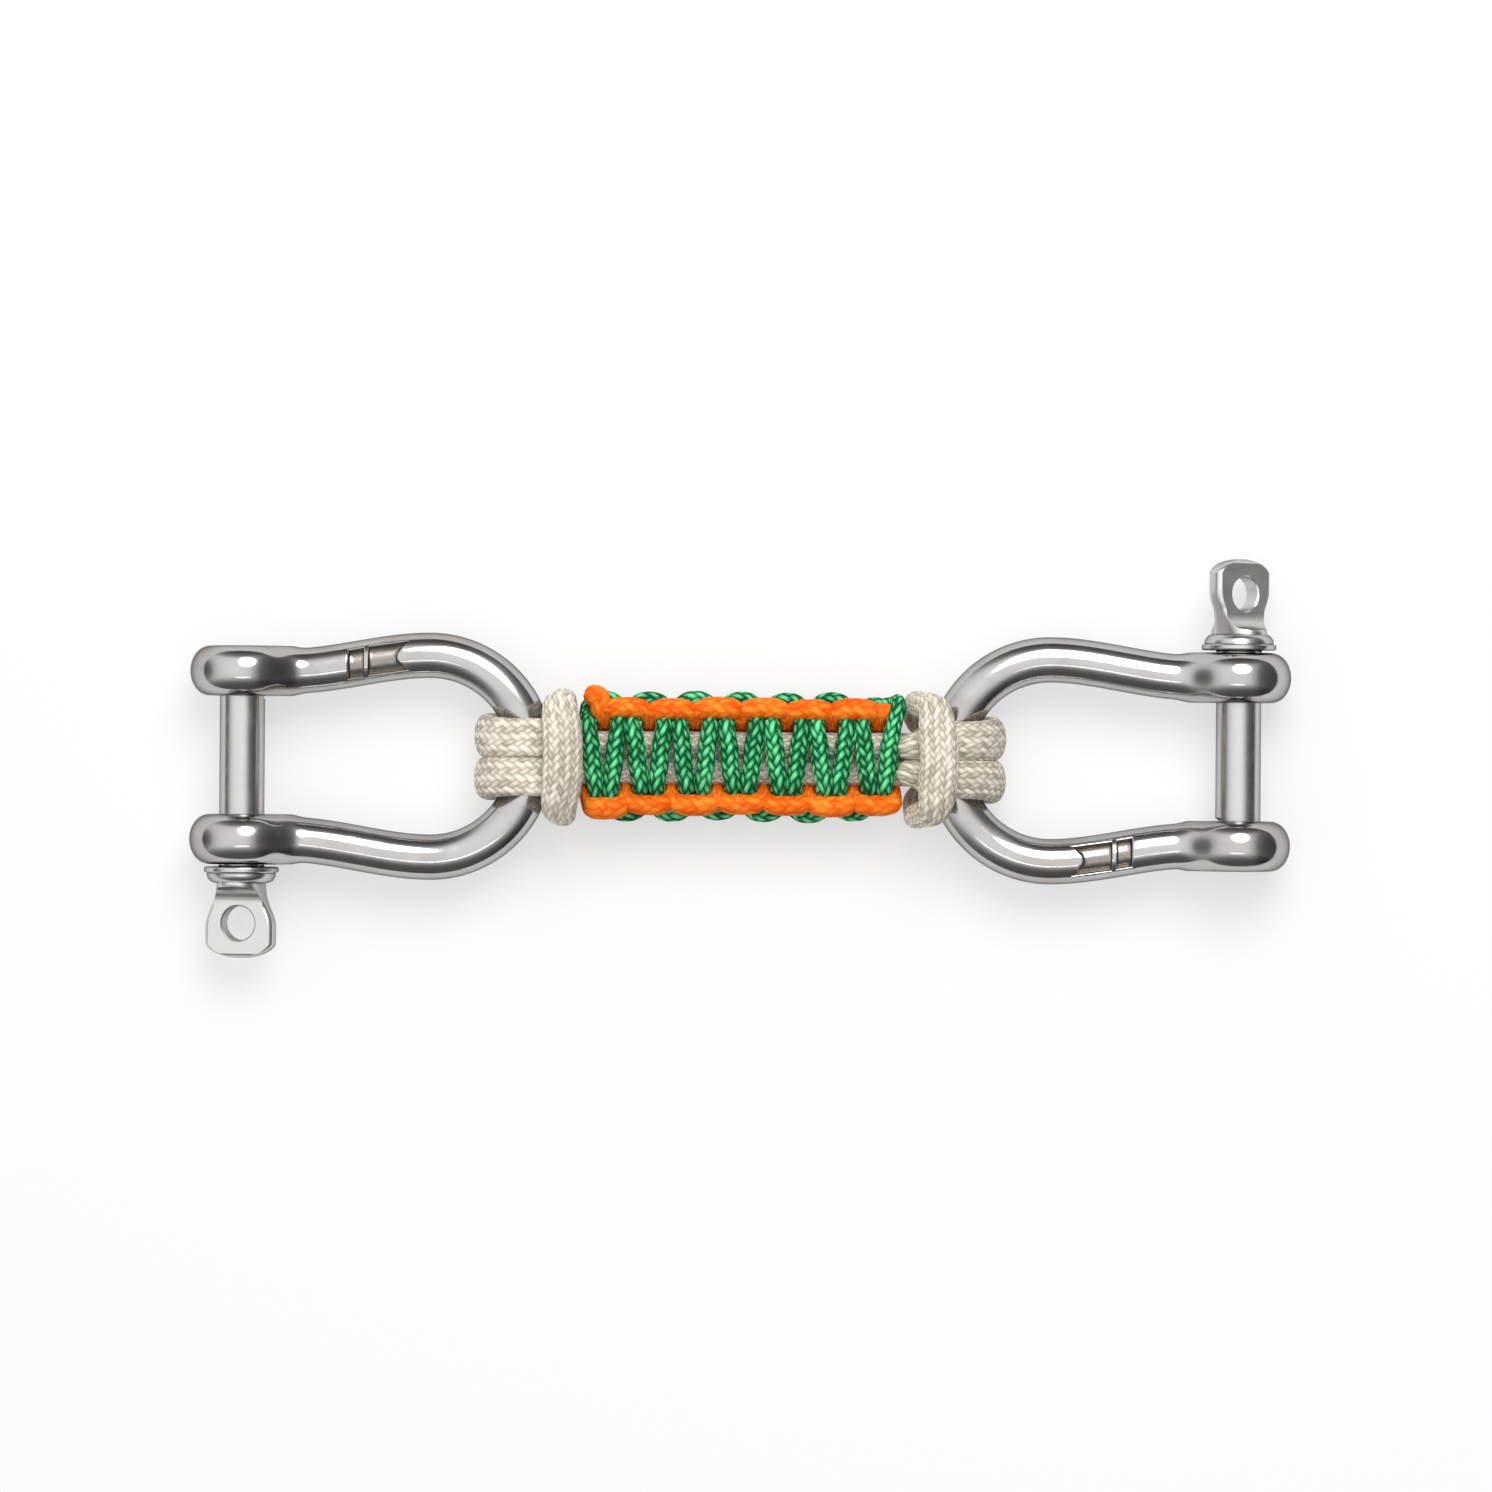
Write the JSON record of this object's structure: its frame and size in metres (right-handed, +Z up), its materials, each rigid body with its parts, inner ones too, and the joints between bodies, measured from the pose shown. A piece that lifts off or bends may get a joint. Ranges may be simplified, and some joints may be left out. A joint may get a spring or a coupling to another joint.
{
  "type": "twin bow shackle with knotted cord strap",
  "caption": "Polished screw-pin bow shackles joined crown to crown by a short knotted cord strap, each swinging in its hitch and with a pin that draws out.",
  "frame": {"origin": "under the middle of the strap, on the surface the part lies on", "axes": "+X along the strap from the left shackle to the right one, +Y along the right pin towards its eye, +Z up from the surface"},
  "size_m": [0.121, 0.0446, 0.014],
  "materials": {
    "steel": "polished",
    "pale_cord": "braided",
    "green_cord": "braided",
    "orange_cord": "braided"
  },
  "bodies": {
    "strap": {"core_cord": "pale_cord", "green_cord": "green_cord", "orange_cord": "orange_cord"},
    "left_shackle": {"left_bow": "steel"},
    "left_screw_pin": {"left_pin": "steel"},
    "right_shackle": {"right_bow": "steel"},
    "right_screw_pin": {"right_pin": "steel"}
  },
  "joints": [
    {"name": "left_swing", "type": "hinge", "parent": "strap", "child": "left_shackle", "pos_m": [-0.02341, 0, 0.00575], "axis": [0, 1, 0], "range_deg": [-90, 90]},
    {"name": "right_swing", "type": "hinge", "parent": "strap", "child": "right_shackle", "pos_m": [0.02341, 0, 0.00575], "axis": [0, -1, 0], "range_deg": [-90, 90]},
    {"name": "left_pin_draw", "type": "slide", "parent": "left_shackle", "child": "left_screw_pin", "axis": [0, -1, 0], "range_m": [0, 0.025]},
    {"name": "right_pin_draw", "type": "slide", "parent": "right_shackle", "child": "right_screw_pin", "axis": [0, 1, 0], "range_m": [0, 0.025]}
  ]
}
